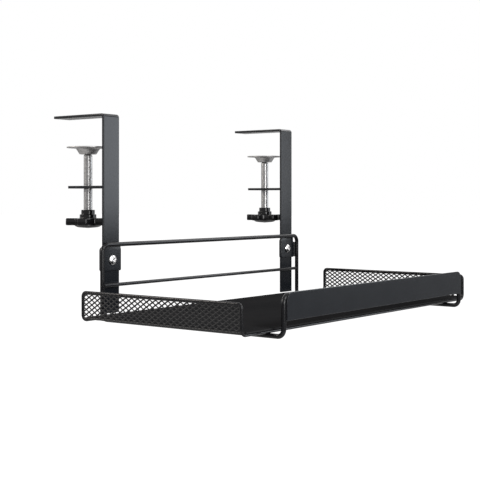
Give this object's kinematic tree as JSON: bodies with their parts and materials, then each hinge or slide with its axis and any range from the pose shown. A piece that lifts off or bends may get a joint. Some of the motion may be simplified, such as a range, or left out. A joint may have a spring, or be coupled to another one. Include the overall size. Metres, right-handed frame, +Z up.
{
  "type": "under-desk shelf",
  "caption": "Open shelf with mesh ends on a wire cradle, which hangs from a desk's edge by two bars with screw clamps.",
  "frame": {"origin": "midway between the two bars, on the line where the bars' rear faces meet the plane of the arms' undersides: the top edge of the desk", "axes": "+Z up, +X along the shelf to the right as seen from its open front, +Y from the desk's edge inwards, so the shelf's open front faces -Y"},
  "size_m": [0.4672, 0.33, 0.2286],
  "materials": {
    "black_steel": "black powder coat, satin",
    "black_wire": "black powder coat, semi-gloss",
    "black_mesh": "black powder coat, satin",
    "plated_steel": "bright zinc plate",
    "black_plastic": "moulded, glossy"
  },
  "bodies": {
    "shelf": {"left_bracket_bar": "black_steel", "left_clamp_plate": "black_steel", "left_saddle_channel": "black_steel", "left_channel_bolt": "plated_steel", "left_channel_nut": "plated_steel", "left_leg_rod": "black_wire", "left_end_rim": "black_wire", "left_end_mesh": "black_mesh", "right_bracket_bar": "black_steel", "right_clamp_plate": "black_steel", "right_saddle_channel": "black_steel", "right_channel_bolt": "plated_steel", "right_channel_nut": "plated_steel", "right_leg_rod": "black_wire", "right_end_rim": "black_wire", "right_end_mesh": "black_mesh", "rear_guard_rod": "black_wire", "front_guard_rod": "black_wire", "rear_mid_rod": "black_wire", "front_rail": "black_wire", "rear_rail": "black_wire", "front_panel": "black_steel", "floor_plate": "black_steel"},
    "left_pad": {"left_clamp_pad": "plated_steel"},
    "left_screw": {"left_clamp_screw": "plated_steel", "left_star_knob": "black_plastic"},
    "right_pad": {"right_clamp_pad": "plated_steel"},
    "right_screw": {"right_clamp_screw": "plated_steel", "right_star_knob": "black_plastic"}
  },
  "joints": [
    {"name": "left_pad_travel", "type": "slide", "parent": "shelf", "child": "left_pad", "axis": [0, 0, 1], "range_m": [-0.0352, 0.0235]},
    {"name": "left_knob_turn", "type": "hinge", "parent": "left_pad", "child": "left_screw", "pos_m": [-0.169, 0.034, -0.08], "axis": [0, 0, 1], "range_deg": [-8508, 5700]},
    {"name": "right_pad_travel", "type": "slide", "parent": "shelf", "child": "right_pad", "axis": [0, 0, 1], "range_m": [-0.0352, 0.0235]},
    {"name": "right_knob_turn", "type": "hinge", "parent": "right_pad", "child": "right_screw", "pos_m": [0.169, 0.034, -0.08], "axis": [0, 0, 1], "range_deg": [-8508, 5700]}
  ],
  "couplings": [
    {"joint": "left_knob_turn", "follows": "left_pad_travel", "rad_per_m": 4188.8},
    {"joint": "right_knob_turn", "follows": "right_pad_travel", "rad_per_m": 4188.8}
  ]
}
